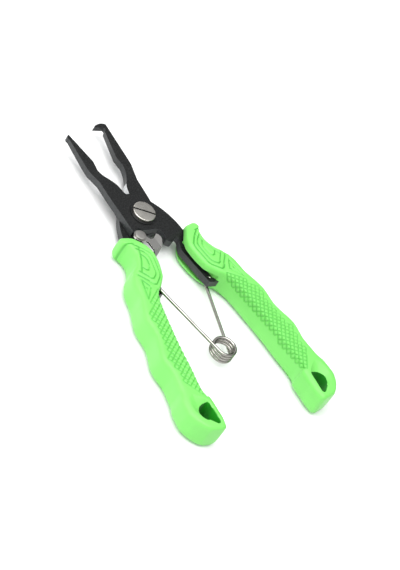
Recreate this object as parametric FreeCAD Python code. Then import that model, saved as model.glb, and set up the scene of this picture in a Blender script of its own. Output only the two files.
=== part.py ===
"""Split-ring fishing pliers with a return spring and a handle latch, built in millimetres.

Both levers are drawn in one closed frame: the pivot axis is at the origin, +Y runs to the jaws, the
jaw lies left of the centre line and its handle right of it, and z = 0 is the middle of the thickness.
The rear lever is drawn the same way and turned over about Y. Each half is then opened by half the
opening angle, and everything is moved so that the origin is the centre of the bottom of the part.
"""
import FreeCAD
import Part
import math
import os

from FreeCAD import Vector

# Whole part
HALF_OPEN_DEG = 11.2
PIVOT_X = 0.0
PIVOT_Y = 33.51
REST_PLANE = -7.2

# Lever plates
PLATE_T = 4.0
LAP_GAP = 0.05
JAW_HALF_T = 2.0
TIP_HALF_T = 1.3
JAW_JOG_Y = (25.0, 33.0)
TANG_JOG_Y = (-17.0, -22.0)
PLATE_BORE_R = 3.05

# Pivot fastener
SHANK_R = 3.0
HEAD_R = 6.17
HEAD_T = 1.8
HEAD_ROUND = 0.7
SLOT_W = 0.9
SLOT_D = 0.8
SLOT_DEG = -33.0
WASHER_R = 6.95
WASHER_T = 0.6
NUT_FLATS = 9.0
NUT_T = 2.2
SHANK_PROUD = 0.4

# Latch
RIVET_POS = (-10.4, -12.75)
RIVET_R = 1.5
RIVET_HEAD_R = 2.85
RIVET_HEAD_T = 0.95
RIVET_BACK_R = 2.2
RIVET_BACK_T = 0.5
LATCH_Z = 4.2
LATCH_T = 0.9
LATCH_EYE_R = 3.5
LATCH_BORE_R = 1.55
SPACER_R = 2.6

# Spring
WIRE_R = 0.825
COIL_R = 5.68
COIL_Y = -82.2
LEG_Z = 3.1
ANCHOR = (8.2, -45.35)
ANCHOR_HOLE_R = 1.15
TIP_REACH = 5.8
SEAM_DEG = 13.5

# Grips
GRIP_TOP = 8.9
GRIP_LOW = -7.3
SLOT_HALF_H = 4.2
SLOT_DEPTH_X = 9.8
SLOT_END_Y = -48.0
MOUTH_HALF_H = 4.4
MOUTH_X = 14.8
TOP_SQUARENESS = 0.32
LOW_SQUARENESS = 0.56

# Stations along a grip: distance below the pivot, inner side, outer side, share of the thickness
GRIP_STATIONS = (
    (16.4, 15.4, 20.9, 0.62),
    (17.8, 12.4, 21.9, 0.8),
    (19.8, 9.9, 21.9, 0.9),
    (21.2, 8.7, 20.9, 0.94),
    (23.5, 7.0, 18.8, 0.97),
    (28.0, 5.6, 17.8, 1.0),
    (34.0, 5.3, 19.5, 1.0),
    (40.0, 5.8, 23.8, 1.0),
    (46.0, 8.9, 24.9, 1.0),
    (52.0, 12.8, 24.6, 1.0),
    (58.0, 13.9, 25.7, 1.0),
    (65.0, 13.8, 26.8, 1.0),
    (76.0, 13.6, 25.1, 1.0),
    (88.5, 12.7, 26.9, 1.0),
    (100.0, 11.5, 24.3, 1.0),
    (108.0, 10.4, 24.2, 1.0),
    (114.0, 8.0, 25.3, 1.0),
    (120.0, 6.8, 25.0, 1.0),
    (125.0, 6.0, 22.7, 0.99),
    (129.0, 6.2, 18.4, 0.95),
    (130.8, 8.4, 15.2, 0.82),
)


def face_from(start, steps):
    """Return a flat face whose outline runs from start through lines (x, y) and arcs (mid, end)."""
    here = Vector(start[0], start[1], 0)
    edges = []
    for step in steps:
        if len(step) == 2:
            there = Vector(step[0], step[1], 0)
            edges.append(Part.makeLine(here, there))
        else:
            middle = Vector(step[0], step[1], 0)
            there = Vector(step[2], step[3], 0)
            edges.append(Part.Arc(here, middle, there).toShape())
        here = there
    return Part.Face(Part.Wire(edges))


def slab(face, low, high):
    """Return the face extruded from z = low to z = high."""
    moved = face.copy()
    moved.translate(Vector(0, 0, low))
    return moved.extrude(Vector(0, 0, high - low))


def disc(radius, low, high, x=0.0, y=0.0):
    """Return a cylinder along Z."""
    return Part.makeCylinder(radius, high - low, Vector(x, y, low))


def prism(corners, depth):
    """Return the solid swept by a polygon with nearly flat corners along the vector depth."""
    low = [corner + depth for corner in corners]
    count = len(corners)
    faces = []
    for ring_points in (corners, low):
        for step in range(1, count - 1):
            wire = Part.makePolygon([ring_points[0], ring_points[step], ring_points[step + 1], ring_points[0]])
            faces.append(Part.Face(wire))
    for step in range(count):
        after = (step + 1) % count
        wire = Part.makePolygon([corners[step], corners[after], low[after], low[step], corners[step]])
        faces.append(Part.Face(wire))
    return Part.Solid(Part.Shell(faces))


def turned(shape, degrees):
    """Return the shape turned about the pivot axis."""
    copy = shape.copy()
    copy.rotate(Vector(0, 0, 0), Vector(0, 0, 1), degrees)
    return copy


def turned_over(shape):
    """Return the shape turned half a turn about Y, which makes a rear piece from a front one."""
    copy = shape.copy()
    copy.rotate(Vector(0, 0, 0), Vector(0, 1, 0), 180)
    return copy


def front(shape):
    """Return a piece of the front half in its open place."""
    return turned(shape, HALF_OPEN_DEG)


def rear(shape):
    """Return a piece of the rear half, drawn as a front piece, in its open place."""
    return turned(turned_over(shape), -HALF_OPEN_DEG)


def jaw_and_side_outline(tip):
    """Return the start point and outline steps shared by both levers, up to the tang's end."""
    start = (-13.5, -6.4)
    steps = [(-12.1, 2.7)]
    steps += [(-10.8, 12.6, -9.0, 22.6)]
    steps += [(-7.6, 30.5), (-6.7, 36.8)]
    steps += tip
    steps += [(-0.12, 38.0)]
    steps += [(-1.5, 34.0), (-2.6, 27.5, -1.1, 22.6)]
    steps += [(-0.35, 20.0), (-0.12, 14.0)]
    steps += [(0.4, 13.4)]
    steps += [(6.4, 10.3, 9.95, 4.45)]
    steps += [(13.6, -5.5, 14.3, -17.0)]
    steps += [(14.2, -27.0), (16.0, -34.0), (20.6, -47.0)]
    steps += [(22.4, -56.0), (21.0, -100.0), (18.5, -102.5, 16.0, -100.0)]
    steps += [(17.2, -57.0), (11.5, -49.5), (5.9, -47.5)]
    return start, steps


def side_profile():
    """Return the solid that gives a lever its thickness, its two jogs and its thinner tip."""
    top = [(62.0, TIP_HALF_T), (JAW_JOG_Y[1], JAW_HALF_T), (JAW_JOG_Y[0], PLATE_T)]
    top += [(TANG_JOG_Y[0], PLATE_T), (TANG_JOG_Y[1], JAW_HALF_T), (-110.0, JAW_HALF_T)]
    low = [(-110.0, -JAW_HALF_T), (TANG_JOG_Y[1], -JAW_HALF_T), (TANG_JOG_Y[0], LAP_GAP)]
    low += [(JAW_JOG_Y[0], LAP_GAP), (JAW_JOG_Y[1], -JAW_HALF_T), (62.0, -TIP_HALF_T)]
    points = [Vector(-40, y, z) for y, z in top + low]
    points.append(points[0])
    return Part.Face(Part.makePolygon(points)).extrude(Vector(80, 0, 0))


def lever(tip, lower_edge):
    """Return one lever: jaw, lap plate and tang, with the pivot and spring holes."""
    start, steps = jaw_and_side_outline(tip)
    face = face_from(start, steps + lower_edge)
    solid = slab(face, -JAW_HALF_T, PLATE_T).common(side_profile())
    solid = solid.cut(disc(PLATE_BORE_R, -1, PLATE_T + 1))
    return solid.cut(disc(ANCHOR_HOLE_R, -6, 6, *ANCHOR))


def front_lever():
    """Return the lever with the plain tapered jaw and the latch tooth below its plate."""
    tip = [(-2.3, 54.6), (-1.6, 57.0, -0.3, 57.3)]
    lower_edge = [(5.9, -26.0), (6.2, -24.8), (8.3, -21.5), (8.9, -19.4, 8.4, -18.6)]
    lower_edge += [(6.2, -19.2), (4.0, -19.9), (2.9, -19.6), (0.6, -17.8)]
    lower_edge += [(1.9, -14.0, 1.2, -11.0)]
    lower_edge += [(-0.6, -9.9), (-4.4, -9.1, -8.2, -7.6)]
    lower_edge += [(-9.6, -5.7, -11.4, -6.6), (-13.5, -6.4)]
    return lever(tip, lower_edge)


def rear_lever():
    """Return the lever with the hooked tooth, drawn as a front lever before it is turned over."""
    tip = [(-2.6, 60.1), (0.0, 60.7, 2.5, 60.0), (4.1, 59.2, 5.1, 57.95)]
    tip += [(0.3, 57.75), (-0.95, 57.3, -0.95, 56.2), (-0.12, 54.8)]
    lower_edge = [(5.9, -24.0), (5.2, -19.5), (3.4, -14.5, -0.6, -10.4)]
    lower_edge += [(-4.4, -9.1, -8.2, -7.6), (-11.4, -6.9), (-13.5, -6.4)]
    return lever(tip, lower_edge)


def grip_section(drop, inner, outer, share):
    """Return the closed rounded-box outline of a grip at one distance below the pivot."""
    centre = Vector((inner + outer) / 2, -drop, (GRIP_TOP + GRIP_LOW) / 2)
    half_w = (outer - inner) / 2
    half_t = share * (GRIP_TOP - GRIP_LOW) / 2
    points = []
    for step in range(24):
        angle = 2 * math.pi * step / 24
        power = TOP_SQUARENESS if step < 12 else LOW_SQUARENESS
        x = math.copysign(abs(math.cos(angle)) ** power, math.cos(angle))
        z = math.copysign(abs(math.sin(angle)) ** power, math.sin(angle))
        points.append(centre + Vector(half_w * x, 0, half_t * z))
    curve = Part.BSplineCurve()
    curve.interpolate(points, True)
    return Part.Wire(curve.toShape())


def spring_slot():
    """Return the space that opens the inner side of a grip around the tang."""
    face = face_from((0.0, -14.0), [
        (0.0, SLOT_END_Y), (6.0, SLOT_END_Y), (9.1, -47.3, SLOT_DEPTH_X, -44.8),
        (SLOT_DEPTH_X, -14.0), (0.0, -14.0),
    ])
    return slab(face, -SLOT_HALF_H, SLOT_HALF_H)


def lanyard_hole():
    """Return the rounded three-cornered space through the heel of a grip."""
    face = face_from((9.3, -125.6), [
        (11.2, -116.8), (12.0, -115.4, 13.8, -115.5), (16.9, -117.2, 18.2, -120.3),
        (17.2, -122.8, 15.0, -124.8), (11.4, -127.0), (9.7, -127.1, 9.3, -125.6),
    ])
    return slab(face, GRIP_LOW - 1, GRIP_TOP + 1)


def grip(tang):
    """Return a moulded grip with its tang slot, spring slot, lanyard hole and flat back land."""
    body = Part.makeLoft([grip_section(*row) for row in GRIP_STATIONS], True, False)
    body = body.cut(spring_slot())
    mouth = Part.makeBox(MOUTH_X, 10, 2 * MOUTH_HALF_H, Vector(0, -22.0, -MOUTH_HALF_H))
    body = body.cut(mouth)
    body = body.cut(lanyard_hole())
    body = body.cut(Part.makeBox(60, 160, 5, Vector(-10, -150, REST_PLANE - 5)))
    return body.cut(tang)


def mirrored(shape):
    """Return the shape mirrored across the centre line and opened to the left."""
    return turned(shape.mirror(Vector(0, 0, 0), Vector(1, 0, 0)), -HALF_OPEN_DEG)


def pivot_screw():
    """Return the slotted screw: round-edged head on the front face and shank to the nut."""
    low = PLATE_T + WASHER_T
    head = disc(HEAD_R, low, low + HEAD_T)
    rim = [edge for edge in head.Edges if edge.BoundBox.ZMin > low + HEAD_T - 0.01 and edge.Closed]
    head = head.makeFillet(HEAD_ROUND, rim)
    slot = Part.makeBox(4 * HEAD_R, SLOT_W, 2 * SLOT_D, Vector(-2 * HEAD_R, -SLOT_W / 2, low + HEAD_T - SLOT_D))
    shank = disc(SHANK_R, -PLATE_T - NUT_T - SHANK_PROUD, low)
    return head.cut(turned(slot, SLOT_DEG)).fuse(shank).removeSplitter()


def ring(outer, inner, low, high, x=0.0, y=0.0):
    """Return a flat ring along Z."""
    return disc(outer, low, high, x, y).cut(disc(inner, low - 1, high + 1, x, y))


def pivot_nut():
    """Return the hexagonal nut on the back of the rear plate."""
    corner_r = NUT_FLATS / math.sqrt(3)
    points = []
    for step in range(7):
        angle = math.radians(60 * step)
        points.append(Vector(corner_r * math.cos(angle), corner_r * math.sin(angle), -PLATE_T - NUT_T))
    body = Part.Face(Part.makePolygon(points)).extrude(Vector(0, 0, NUT_T))
    return body.cut(disc(SHANK_R, -PLATE_T - NUT_T - 1, 0))


def latch():
    """Return the sheet latch: eye, hook and thumb tab with its tip folded down."""
    x, y = RIVET_POS
    plate = face_from((-8.9, -16.4), [
        (-7.4, -14.9), (-5.6, -15.9), (-4.0, -15.8), (-2.2, -14.5, -0.3, -13.2),
        (0.9, -15.5, 0.2, -18.3), (-1.2, -20.3), (-2.6, -22.0), (-7.6, -22.2), (-8.0, -17.3),
        (-8.9, -16.4),
    ])
    neck = face_from((x - 1.8, y - 2.95), [
        (x + 2.4, y + 2.5), (-7.0, -14.2), (-5.6, -15.9), (-8.9, -16.4), (x - 1.8, y - 2.95),
    ])
    body = slab(plate, LATCH_Z, LATCH_Z + LATCH_T)
    body = body.fuse(slab(neck, LATCH_Z, LATCH_Z + LATCH_T))
    body = body.fuse(disc(LATCH_EYE_R, LATCH_Z, LATCH_Z + LATCH_T, x, y))
    flap = []
    for px, py, drop in ((-7.5, -22.0, 0.0), (-2.7, -21.9, 0.0), (-4.7, -23.6, 1.6), (-6.9, -25.0, 2.9)):
        flap.append(Vector(px, py, LATCH_Z + LATCH_T - drop))
    lean = Vector(0, 0.6, -0.6)
    body = body.fuse(prism(flap, lean)).removeSplitter()
    return body.cut(disc(LATCH_BORE_R, LATCH_Z - 1, LATCH_Z + LATCH_T + 1, x, y))


def latch_rivet():
    """Return the rivet that holds the latch: back head, shank through the rear plate, front head."""
    x, y = RIVET_POS
    top = LATCH_Z + LATCH_T + 0.05
    body = disc(RIVET_R, -PLATE_T - RIVET_BACK_T, top, x, y)
    body = body.fuse(disc(RIVET_HEAD_R, top, top + RIVET_HEAD_T, x, y))
    return body.fuse(disc(RIVET_BACK_R, -PLATE_T - RIVET_BACK_T, -PLATE_T, x, y)).removeSplitter()


def swept(path):
    """Return the round spring wire swept along a path wire."""
    start = path.Edges[0].valueAt(path.Edges[0].FirstParameter)
    along = path.Edges[0].tangentAt(path.Edges[0].FirstParameter)
    section = Part.Wire(Part.makeCircle(WIRE_R, start, along))
    return path.makePipeShell([section], True, True)


def spring_half():
    """Return the front half of the spring in the open pose: anchor tip, leg and half of the coil."""
    turn = math.radians(HALF_OPEN_DEG)
    ax = ANCHOR[0] * math.cos(turn) - ANCHOR[1] * math.sin(turn)
    ay = ANCHOR[0] * math.sin(turn) + ANCHOR[1] * math.cos(turn)
    reach = math.hypot(ax, ay - COIL_Y)
    lean = math.atan2(ay - COIL_Y, ax) - math.acos(COIL_R / reach)
    tx = COIL_R * math.cos(lean)
    ty = COIL_Y + COIL_R * math.sin(lean)
    bend = 1.5
    length = math.hypot(tx - ax, ty - ay)
    ux = (tx - ax) / length
    uy = (ty - ay) / length
    tip = Vector(ax, ay, -LEG_Z + TIP_REACH)
    knee = Vector(ax, ay, -LEG_Z + bend)
    mid = Vector(ax + ux * bend * 0.293, ay + uy * bend * 0.293, -LEG_Z + bend * 0.293)
    run = Vector(ax + ux * bend, ay + uy * bend, -LEG_Z)
    tangent = Vector(tx, ty, -LEG_Z)
    straight = Part.Wire([
        Part.makeLine(tip, knee),
        Part.Arc(knee, mid, run).toShape(),
        Part.makeLine(run, tangent),
    ])
    leg = swept(straight)
    # The coil turns clockwise from the tangent point, seen from the front, while it rises to z = 0.
    sweep = 3.5 * math.pi + lean
    share = 1 - math.radians(SEAM_DEG) / sweep
    points = []
    for step in range(49):
        part = share * step / 48
        angle = lean - sweep * part
        x = COIL_R * math.cos(angle)
        y = COIL_Y + COIL_R * math.sin(angle)
        points.append(Vector(x, y, LEG_Z * (part - 1)))
    curve = Part.BSplineCurve()
    curve.interpolate(points)
    coil = swept(Part.Wire(curve.toShape()))
    return leg.fuse(coil)


def main():
    """Build every node in its open place and write one STEP file each."""
    os.makedirs("parts", exist_ok=True)
    front_plate = front_lever()
    rear_plate = rear_lever()
    rear_plate_mirror = rear_plate.mirror(Vector(0, 0, 0), Vector(0, 0, 1))
    x, y = RIVET_POS
    rear_in_place = rear(rear_plate).cut(disc(RIVET_R, -PLATE_T - 1, 1, x, y))
    nodes = {
        "front_lever": front(front_plate),
        "rear_lever": rear_in_place,
        "front_grip": front(grip(front_plate)),
        "rear_grip": mirrored(grip(rear_plate_mirror)),
        "pivot_screw": pivot_screw(),
        "pivot_washer": ring(WASHER_R, SHANK_R, PLATE_T, PLATE_T + WASHER_T),
        "pivot_nut": pivot_nut(),
        "latch": latch(),
        "latch_rivet": latch_rivet(),
        "latch_spacer": ring(SPACER_R, RIVET_R, -LAP_GAP, LATCH_Z - 0.05, x, y),
        "spring_front": spring_half(),
        "spring_rear": turned_over(spring_half()),
    }
    for name, shape in nodes.items():
        shape.translate(Vector(PIVOT_X, PIVOT_Y, -REST_PLANE))
        shape.exportStep(os.path.join("parts", name + ".step"))


main()
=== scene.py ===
"""Looks of the fishing pliers: moulded grips, coated levers, pivot, latch and return spring.

Every shape is worked out in millimetres in the frame in which the part was designed: the pivot axis
is at the origin, +Y runs to the jaws and z = 0 is the middle of the lap. A half is drawn closed,
with its grip to the right of the centre line, and Half.carry() opens it, mirrors it where it is the
rear one, and moves it to the part's own frame in metres.
"""

import logging
import math
from collections.abc import Sequence
from dataclasses import dataclass, field
from enum import Enum

import bmesh
import bpy
import numpy as np
from mathutils import Matrix, Vector

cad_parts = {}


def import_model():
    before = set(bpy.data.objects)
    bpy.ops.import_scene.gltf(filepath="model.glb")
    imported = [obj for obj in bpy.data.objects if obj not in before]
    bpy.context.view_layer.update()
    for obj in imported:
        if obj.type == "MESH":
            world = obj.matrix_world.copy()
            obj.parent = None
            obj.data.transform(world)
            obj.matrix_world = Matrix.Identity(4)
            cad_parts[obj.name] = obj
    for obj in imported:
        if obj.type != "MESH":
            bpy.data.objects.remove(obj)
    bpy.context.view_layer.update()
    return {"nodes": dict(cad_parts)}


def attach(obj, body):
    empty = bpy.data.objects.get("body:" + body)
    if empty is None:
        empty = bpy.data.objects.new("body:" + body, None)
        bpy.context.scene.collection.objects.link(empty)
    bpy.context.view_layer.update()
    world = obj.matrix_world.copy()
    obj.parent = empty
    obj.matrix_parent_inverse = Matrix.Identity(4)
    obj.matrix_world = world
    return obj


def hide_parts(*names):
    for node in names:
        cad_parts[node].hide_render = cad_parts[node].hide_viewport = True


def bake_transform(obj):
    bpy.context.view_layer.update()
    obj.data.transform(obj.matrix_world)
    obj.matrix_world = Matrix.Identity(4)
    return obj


LOG = logging.getLogger("pliers")

MM = 0.001
HALF_OPEN_DEG = 11.2
PIVOT = np.array([0.0, 33.51, 7.2])
ARC_RUNS = 10
EASED_DEG = 35.0
END_ROWS = 12
WAVES_PER_UNIT = 20.0  # the ring texture's own factor on its scale

Array = np.ndarray
Mesh = bpy.types.Mesh
Piece = bpy.types.Object
Socket = bpy.types.NodeSocket
Tree = bpy.types.NodeTree
Triple = tuple[float, float, float]
Outline = Sequence[tuple[float, ...]]


# ---- Numbers and curves ----

def ramp(low: float, high: float, value: Array) -> Array:
    """Return the smooth step 3t^2 - 2t^3, where t runs from 0 at low to 1 at high and is held there.

    Args:
        low: Where the step starts; it may be larger than high.
        high: Where the step ends.
        value: The numbers to map.

    Returns:
        An array of the same shape.
    """
    t = np.clip((value - low) / (high - low), 0.0, 1.0)
    return t * t * (3.0 - 2.0 * t)


def rim_drop(radius: float, distance: Array) -> Array:
    """Return how far a rounded rim lies below its face: r - sqrt(r^2 - (r - d)^2), with d held in 0 to r."""
    return radius - np.sqrt(radius ** 2 - (radius - np.clip(distance, 0.0, radius)) ** 2)


def rotate(x: Array, y: Array, degrees: float) -> tuple[Array, Array]:
    """Return x and y turned counter-clockwise about the origin."""
    c, s = math.cos(math.radians(degrees)), math.sin(math.radians(degrees))
    return x * c - y * s, x * s + y * c


def arc_through(start: Array, middle: Array, end: Array, count: int) -> Array:
    """Return evenly spaced points of an arc, whose centre is where its chords' bisectors meet.

    Args:
        start: First point of the arc, which is left out.
        middle: A point the arc passes through.
        end: Last point of the arc.
        count: Number of points.

    Returns:
        Rows of x and y.
    """
    chords = 2.0 * np.array([middle - start, end - start])
    centre = np.linalg.solve(chords, [middle @ middle - start @ start, end @ end - start @ start])
    spokes = np.array([start, middle, end]) - centre
    angles = np.unwrap(np.arctan2(spokes[:, 1], spokes[:, 0]))
    if (angles[1] - angles[0]) * (angles[2] - angles[1]) < 0:
        angles[2] += math.copysign(2.0 * math.pi, angles[1] - angles[0])
    turn = np.linspace(angles[0], angles[2], count + 1)[1:]
    return centre + np.linalg.norm(spokes[0]) * np.stack([np.cos(turn), np.sin(turn)], axis=1)


def outline(start: tuple[float, float], steps: Outline) -> Array:
    """Return a closed outline drawn with lines and arcs.

    Args:
        start: First corner.
        steps: (x, y) for a line, or (middle x, middle y, x, y) for an arc.

    Returns:
        The corners; the last isn't repeated.
    """
    runs = [np.array([start], float)]
    for step in steps:
        if len(step) == 2:
            runs.append(np.array([step], float))
        else:
            runs.append(arc_through(runs[-1][-1], np.array(step[:2]), np.array(step[2:]), ARC_RUNS))
    corners = np.concatenate(runs)
    return corners[:-1] if np.allclose(corners[0], corners[-1]) else corners


def through(knots: Array, values: Array, at: Array) -> Array:
    """Return a cubic Hermite curve through knots; its slopes are harmonic means, or 0 at a turn.

    Args:
        knots: Rising places of the knots.
        values: Values at the knots.
        at: Places to work out.

    Returns:
        The values at those places.
    """
    width = np.diff(knots)
    slope = np.diff(values) / width
    same = slope[:-1] * slope[1:] > 0
    mean = np.where(same, 2 * slope[:-1] * slope[1:] / np.where(same, slope[:-1] + slope[1:], 1.0), 0.0)
    tangent = np.concatenate([slope[:1], mean, slope[-1:]])
    run = np.clip(np.searchsorted(knots, at) - 1, 0, len(width) - 1)
    t = (at - knots[run]) / width[run]
    return (
        values[run] * (1 + 2 * t) * (1 - t) ** 2
        + tangent[run] * width[run] * t * (1 - t) ** 2
        + values[run + 1] * t * t * (3 - 2 * t)
        - tangent[run + 1] * width[run] * t * t * (1 - t)
    )


def line_distance(x: Array, y: Array, line: Array, closed: bool) -> Array:
    """Return the least distance from each point to the straight runs of a line.

    Args:
        x: First coordinates.
        y: Second coordinates.
        line: Corners of the line.
        closed: True where the last corner joins the first.

    Returns:
        The distances.
    """
    ends = np.roll(line, -1, axis=0) if closed else line[1:]
    best = np.full(x.shape, np.inf)
    for (ax, ay), (bx, by) in zip(line, ends):
        dx, dy = bx - ax, by - ay
        t = np.clip(((x - ax) * dx + (y - ay) * dy) / (dx * dx + dy * dy), 0.0, 1.0)
        best = np.minimum(best, np.hypot(x - ax - t * dx, y - ay - t * dy))
    return best


def inside(x: Array, y: Array, corners: Array) -> Array:
    """Return which points lie in a closed outline, by counting the sides to the right of each.

    Args:
        x: First coordinates.
        y: Second coordinates.
        corners: Corners of the outline.

    Returns:
        True for each point inside.
    """
    odd = np.zeros(x.shape, bool)
    for (ax, ay), (bx, by) in zip(corners, np.roll(corners, -1, axis=0)):
        crosses = (ay > y) != (by > y)
        rise = by - ay if by != ay else 1.0
        odd ^= crosses & (x < ax + (y - ay) * (bx - ax) / rise)
    return odd


# ---- Meshes ----

class Half(Enum):
    """One half of the pliers; the value is the sense in which it opens."""

    FRONT = 1.0
    REAR = -1.0

    @property
    def word(self) -> str:
        """The half's word in the names of bodies and nodes."""
        return self.name.lower()

    def carry(self, points: Array) -> Array:
        """Return rows of x, y, z of the closed frame, mirrored, opened and moved to the part's frame."""
        x, y = rotate(points[:, 0] * self.value, points[:, 1], HALF_OPEN_DEG * self.value)
        return (np.stack([x, y, points[:, 2]], axis=1) + PIVOT) * MM


@dataclass
class Skin:
    """A surface on a grid of rows and columns, which closes round its columns."""

    points: Array
    ring: bool = False

    def faces(self) -> Array:
        """Return the four-cornered faces between neighbouring rows and columns."""
        rows, columns = self.points.shape[:2]
        index = np.arange(rows * columns).reshape(rows, columns)
        across, below = np.roll(index, -1, axis=1), np.roll(index, -1, axis=0)
        quads = np.stack([index, across, np.roll(across, -1, axis=0), below], axis=-1)
        return quads[:rows if self.ring else rows - 1].reshape(-1, 4)

    def piece(self, name: str) -> Piece:
        """Return a new closed piece, in the units of the points, with its poles welded."""
        return add_object(closed_mesh(name, self.points.reshape(-1, 3).tolist(), self.faces().tolist()))


def closed_mesh(name: str, points: list, faces: list) -> Mesh:
    """Return a mesh of the points and faces, with doubled points welded and faces turned outwards."""
    mesh = bpy.data.meshes.new(name)
    mesh.from_pydata(points, [], faces)
    work = bmesh.new()
    work.from_mesh(mesh)
    bmesh.ops.remove_doubles(work, verts=work.verts, dist=1e-5)
    bmesh.ops.recalc_face_normals(work, faces=work.faces)
    work.to_mesh(mesh)
    work.free()
    return mesh


def prism(name: str, corners: Array, low: float, high: float) -> Mesh:
    """Return an upright solid from the height low to high, whose outline has those corners."""
    count = len(corners)
    index = np.arange(count)
    after = (index + 1) % count
    points = np.concatenate([np.column_stack([corners, np.full(count, height)]) for height in (low, high)])
    sides = np.stack([index, after, after + count, index + count], axis=1)
    faces = [*sides.tolist(), index[::-1].tolist(), (index + count).tolist()]
    return closed_mesh(name, points.tolist(), faces)


def turned_skin(profile: Array, columns: int, x: float = 0.0, y: float = 0.0, ring: bool = False) -> Skin:
    """Return a surface of revolution about an upright axis.

    Args:
        profile: Rows of radius and height.
        columns: Number of columns round the axis.
        x: Place of the axis.
        y: Place of the axis.
        ring: True where the profile closes on itself.

    Returns:
        The surface.
    """
    angle = np.linspace(0.0, 2.0 * math.pi, columns, endpoint=False)
    radius, height = profile[:, :1], profile[:, 1:] + 0.0 * angle
    return Skin(np.stack([x + radius * np.cos(angle), y + radius * np.sin(angle), height], axis=-1), ring)


def rounded_corner(radius: float, height: float, size: float, start_deg: float, count: int = 6) -> Array:
    """Return a quarter circle of a profile, as rows of radius and height.

    Args:
        radius: Distance of its centre from the axis.
        height: Height of its centre.
        size: Its own radius.
        start_deg: Angle at which it starts; it ends 90 degrees lower.
        count: Number of points.
    """
    angle = np.radians(np.linspace(start_deg, start_deg - 90.0, count))
    return np.stack([radius + size * np.cos(angle), height + size * np.sin(angle)], axis=1)


def add_object(mesh: Mesh) -> Piece:
    """Return a new object at the origin that shows the mesh and has its name."""
    piece = bpy.data.objects.new(mesh.name, mesh)
    bpy.context.scene.collection.objects.link(piece)
    return piece


def carve(piece: Piece, cutters: Sequence[Mesh]) -> None:
    """Cut solids out of a piece that has no modifiers, and leave the result as its mesh."""
    helpers = [add_object(mesh) for mesh in cutters]
    for helper in helpers:
        cut = piece.modifiers.new(helper.name, "BOOLEAN")
        cut.operation, cut.solver, cut.object = "DIFFERENCE", "EXACT", helper
    graph = bpy.context.evaluated_depsgraph_get()
    carved = bpy.data.meshes.new_from_object(piece.evaluated_get(graph), depsgraph=graph)
    piece.modifiers.clear()
    piece.data = carved
    for helper in helpers:
        bpy.data.objects.remove(helper)


def shade(mesh: Mesh, sharp_deg: float = 32.0) -> None:
    """Shade a mesh smooth and keep the edges that turn by more than an angle crisp."""
    mesh.polygons.foreach_set("use_smooth", np.ones(len(mesh.polygons), bool))
    mesh.set_sharp_from_angle(angle=math.radians(sharp_deg))
    mesh.update()


def corners_of(mesh: Mesh) -> Array:
    """Return the places of a mesh's corners as rows of x, y, z."""
    flat = np.empty(len(mesh.vertices) * 3, np.float32)
    mesh.vertices.foreach_get("co", flat)
    return flat.reshape(-1, 3).astype(float)


def put_corners(mesh: Mesh, points: Array) -> None:
    """Set the places of a mesh's corners from rows of x, y, z."""
    mesh.vertices.foreach_set("co", points.astype(np.float32).ravel())
    mesh.update()


def ease_edges(piece: Piece, width_mm: float, edge_slot: int = -1) -> None:
    """Round the sharp edges of a piece with a live bevel.

    Args:
        piece: The piece.
        width_mm: Width of the rounding.
        edge_slot: Material slot of the rounded faces, or -1 to keep the neighbour's.
    """
    bevel = piece.modifiers.new("eased_edges", "BEVEL")
    bevel.width = width_mm * MM
    bevel.segments = 3
    bevel.limit_method = "ANGLE"
    bevel.angle_limit = math.radians(EASED_DEG)
    bevel.harden_normals = True
    bevel.material = edge_slot


def merged_copy(node: Piece, name: str) -> Piece:
    """Return a named copy of a CAD node, whose loose triangles are merged into whole faces."""
    mesh = node.data.copy()
    mesh.name = name
    work = bmesh.new()
    work.from_mesh(mesh)
    bmesh.ops.remove_doubles(work, verts=work.verts, dist=1e-6)
    bmesh.ops.dissolve_limit(work, angle_limit=math.radians(0.6), verts=work.verts, edges=work.edges)
    work.to_mesh(mesh)
    work.free()
    mesh.materials.clear()
    normals = mesh.attributes.get("custom_normal")
    if normals:
        mesh.attributes.remove(normals)
    shade(mesh)
    return add_object(mesh)


def settle(piece: Piece) -> Piece:
    """Move a piece drawn about the pivot in millimetres to the part's frame, shade it and return it."""
    put_corners(piece.data, (corners_of(piece.data) + PIVOT) * MM)
    shade(piece.data)
    return piece


def coat(piece: Piece, *finishes: bpy.types.Material) -> None:
    """Give a piece its materials in slot order; its faces keep the numbers of their slots."""
    slots = np.empty(len(piece.data.polygons), np.int32)
    piece.data.polygons.foreach_get("material_index", slots)
    piece.data.materials.clear()
    for finish in finishes:
        piece.data.materials.append(finish)
    piece.data.polygons.foreach_set("material_index", np.minimum(slots, len(finishes) - 1))


def put_on(piece: Piece, body: str, slot: str, *nodes: str) -> None:
    """Let a piece ride on a body, and hide and name the CAD nodes that it stands for.

    Args:
        piece: The piece.
        body: The CAD body it moves with.
        slot: Not used.
        nodes: The CAD nodes that it replaces.
    """
    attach(piece, body)
    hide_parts(*nodes)
    LOG.info("%s: %d corners, rides on %s, for %s", piece.name, len(piece.data.vertices), body,
             ", ".join(nodes))


# ---- Finishes ----

def linear(code: str) -> tuple[float, float, float, float]:
    """Return an sRGB hex colour as linear red, green, blue and alpha."""
    parts = np.array([int(code[i:i + 2], 16) for i in (1, 3, 5)]) / 255.0
    out = np.where(parts <= 0.04045, parts / 12.92, ((parts + 0.055) / 1.055) ** 2.4)
    return (*out.tolist(), 1.0)


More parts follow.
